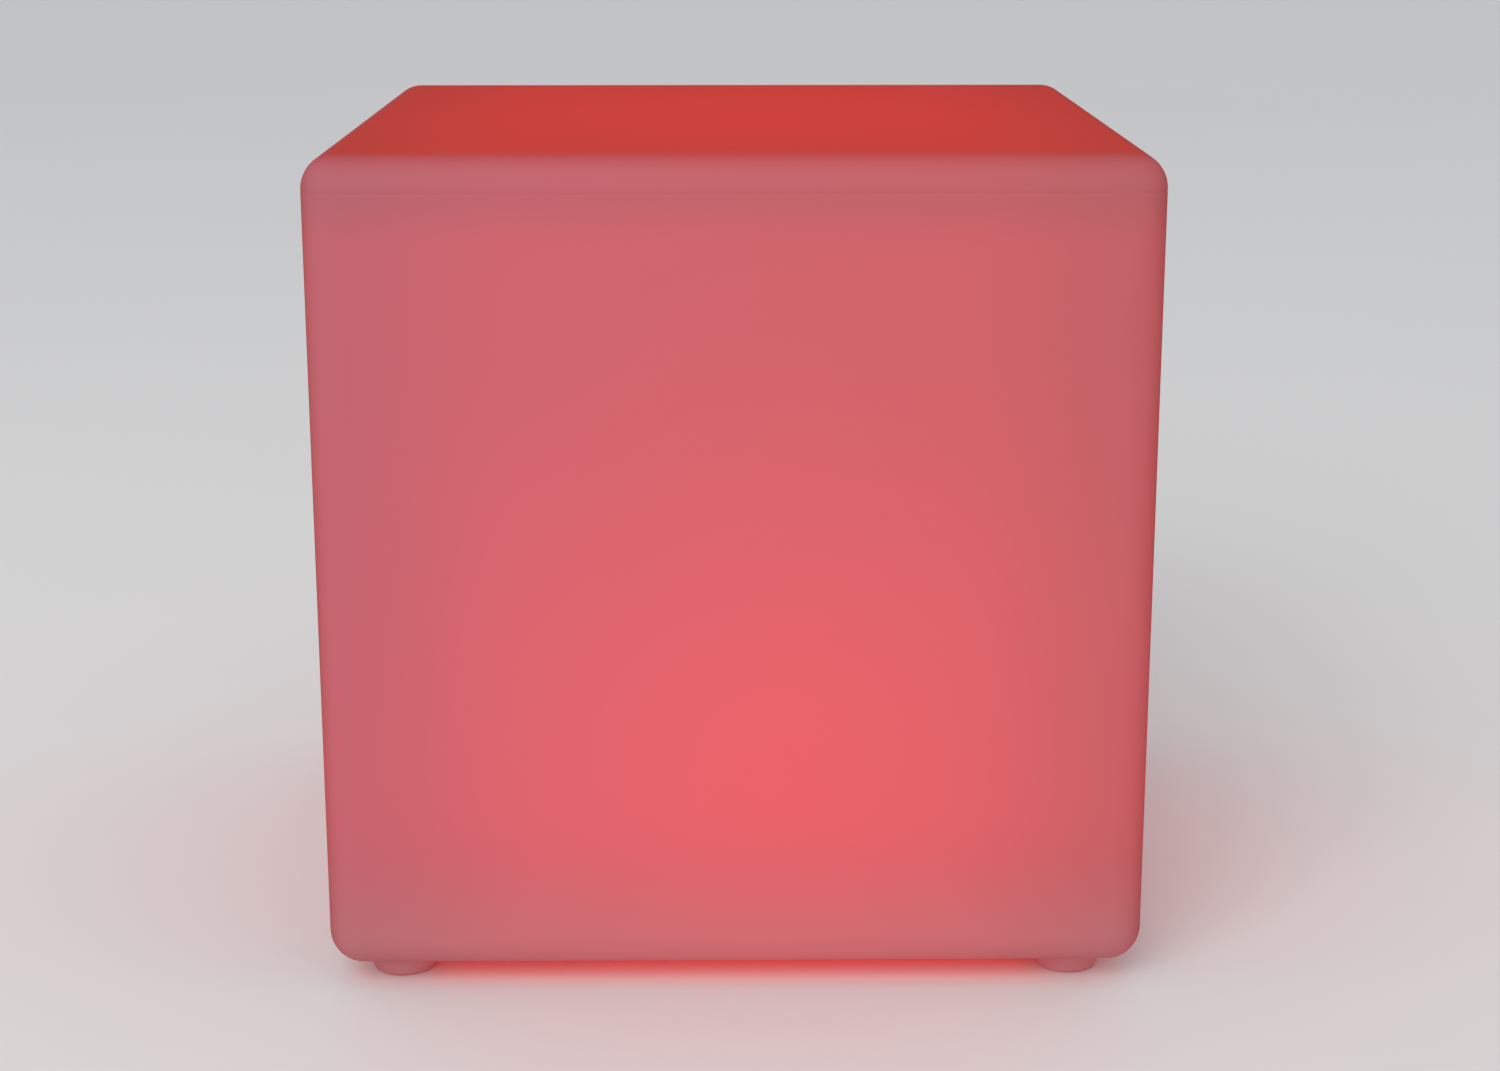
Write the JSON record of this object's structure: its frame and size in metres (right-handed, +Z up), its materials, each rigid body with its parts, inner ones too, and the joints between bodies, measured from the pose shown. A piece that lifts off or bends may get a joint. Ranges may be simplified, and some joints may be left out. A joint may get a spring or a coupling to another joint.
{
  "type": "rounded cube table light",
  "caption": "Milky rounded cube on blunt moulded feet that glows red from a rechargeable light unit, with a push button and a covered charging port underneath.",
  "frame": {"origin": "middle of the footprint, level with the bottoms of the feet", "axes": "+Z up, -Y towards the front as pictured, +X towards the right of the picture"},
  "size_m": [0.2, 0.2, 0.2042],
  "materials": {
    "amber_plastic": "moulded resin",
    "black_plastic": "moulded",
    "black_rubber": "smooth",
    "black_wire": "silicone insulation",
    "brass": "turned",
    "button_plastic": "satin",
    "cell_sleeve": "shrunk sleeve",
    "clear_plastic": "polished clear acrylic",
    "cover_rubber": "soft, matt",
    "frosted_plastic": "frosted polycarbonate, lit red",
    "green_laminate": "solder mask on glass laminate",
    "grey_ferrite": "pressed ferrite",
    "grey_plastic": "moulded",
    "grey_wire": "flat cable insulation",
    "ivory_plastic": "moulded nylon",
    "led_lens": "clear resin, lit red",
    "milky_shell": "satin milky polyethylene, lit red from inside",
    "nickel_strip": "rolled nickel",
    "red_wire": "silicone insulation",
    "screw_steel": "zinc plated",
    "socket_steel": "drawn, nickel plated",
    "spring_steel": "oiled",
    "white_laminate": "white solder mask",
    "white_plastic": "fine moulded texture",
    "white_silicone": "soft, matt"
  },
  "bodies": {
    "housing": {"base_gasket": "white_silicone", "base_plate": "white_plastic", "base_screws": "screw_steel", "battery_cell_left": "cell_sleeve", "battery_cell_right": "cell_sleeve", "battery_clamp": "grey_plastic", "battery_lead_black": "black_wire", "battery_lead_red": "red_wire", "battery_screws": "screw_steel", "battery_socket": "ivory_plastic", "battery_tray": "grey_plastic", "capacitors": "amber_plastic", "charge_chip": "black_plastic", "charge_socket": "socket_steel", "charge_socket_tongue": "black_plastic", "control_board": "green_laminate", "control_board_screws": "screw_steel", "controller_chip": "black_plastic", "cup_screws": "screw_steel", "led_board": "white_laminate", "led_header": "ivory_plastic", "led_ribbon": "grey_wire", "led_socket": "ivory_plastic", "leds": "led_lens", "light_cup": "white_plastic", "light_dome": "frosted_plastic", "light_pipe": "clear_plastic", "negative_tab": "nickel_strip", "port_cover_anchor": "cover_rubber", "positive_tab": "nickel_strip", "power_coil": "grey_ferrite", "shell": "milky_shell", "status_led": "led_lens", "tact_switch": "black_plastic", "threaded_inserts": "brass"},
    "button": {"power_button": "button_plastic", "button_seal": "black_rubber", "button_clip": "spring_steel", "switch_plunger": "black_plastic"},
    "cover": {"port_cover": "cover_rubber"}
  },
  "joints": [
    {"name": "button_press", "type": "slide", "parent": "housing", "child": "button", "axis": [0, 0, 1], "range_m": [0, 0.0008], "stiffness_N_per_m": 1500, "springref_m": -0.0005},
    {"name": "port_cover_hinge", "type": "hinge", "parent": "housing", "child": "cover", "pos_m": [0.0258, 0, 0.0048], "axis": [0, -1, 0], "range_deg": [0, 100]}
  ]
}
